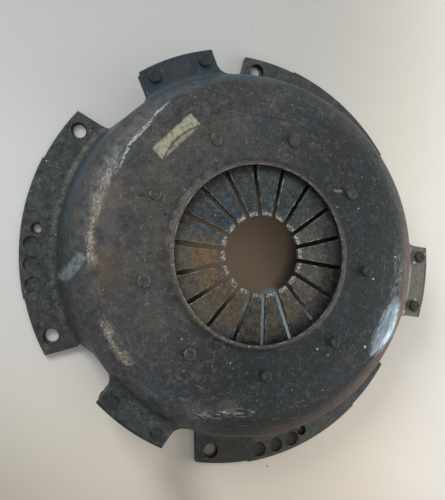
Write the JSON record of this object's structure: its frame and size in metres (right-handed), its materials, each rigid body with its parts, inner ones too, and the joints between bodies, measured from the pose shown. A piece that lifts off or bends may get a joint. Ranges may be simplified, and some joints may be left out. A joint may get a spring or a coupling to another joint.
{
  "type": "clutch cover assembly",
  "caption": "Diaphragm spring clutch cover assembly: a pressed steel cover with a bolting flange, a cast pressure plate hung on leaf straps, and a radial-finger spring.",
  "frame": {"origin": "centre of the bolt circle on the flange's mounting face", "axes": "+Z along the clutch axis from the flywheel towards the release bearing, +X through the middle of one ear"},
  "size_m": [0.2517, 0.2584, 0.0513],
  "materials": {
    "cover_steel": "dark phosphated pressing with scuffs and rust haze",
    "spring_steel": "dark oiled spring steel, worn bright at the fingertips",
    "plate_iron": "as cast, with a ground friction face",
    "strap_steel": "blue-grey spring strip",
    "ring_wire": "drawn wire",
    "rivet_steel": "dark steel with light rust"
  },
  "bodies": {
    "cover_body": {"cover": "cover_steel", "diaphragm_spring": "spring_steel", "fulcrum_ring_upper": "ring_wire", "fulcrum_ring_lower": "ring_wire", "spring_rivet_1": "rivet_steel", "spring_rivet_2": "rivet_steel", "spring_rivet_3": "rivet_steel", "spring_rivet_4": "rivet_steel", "spring_rivet_5": "rivet_steel", "spring_rivet_6": "rivet_steel", "spring_rivet_7": "rivet_steel", "spring_rivet_8": "rivet_steel", "spring_rivet_9": "rivet_steel", "cover_strap_rivet_1": "rivet_steel", "cover_strap_rivet_2": "rivet_steel", "cover_strap_rivet_3": "rivet_steel", "strap_1_leaf_1": "strap_steel", "strap_1_leaf_2": "strap_steel", "strap_1_leaf_3": "strap_steel", "strap_2_leaf_1": "strap_steel", "strap_2_leaf_2": "strap_steel", "strap_2_leaf_3": "strap_steel", "strap_3_leaf_1": "strap_steel", "strap_3_leaf_2": "strap_steel", "strap_3_leaf_3": "strap_steel"},
    "plate_body": {"pressure_plate": "plate_iron", "plate_strap_rivet_1": "rivet_steel", "plate_strap_rivet_2": "rivet_steel", "plate_strap_rivet_3": "rivet_steel"}
  },
  "joints": [
    {"name": "plate_lift", "type": "slide", "parent": "cover_body", "child": "plate_body", "axis": [0, 0, 1], "range_m": [0, 0.0032], "deforming": ["diaphragm_spring", "strap_1_leaf_1", "strap_1_leaf_2", "strap_1_leaf_3", "strap_2_leaf_1", "strap_2_leaf_2", "strap_2_leaf_3", "strap_3_leaf_1", "strap_3_leaf_2", "strap_3_leaf_3"]}
  ]
}
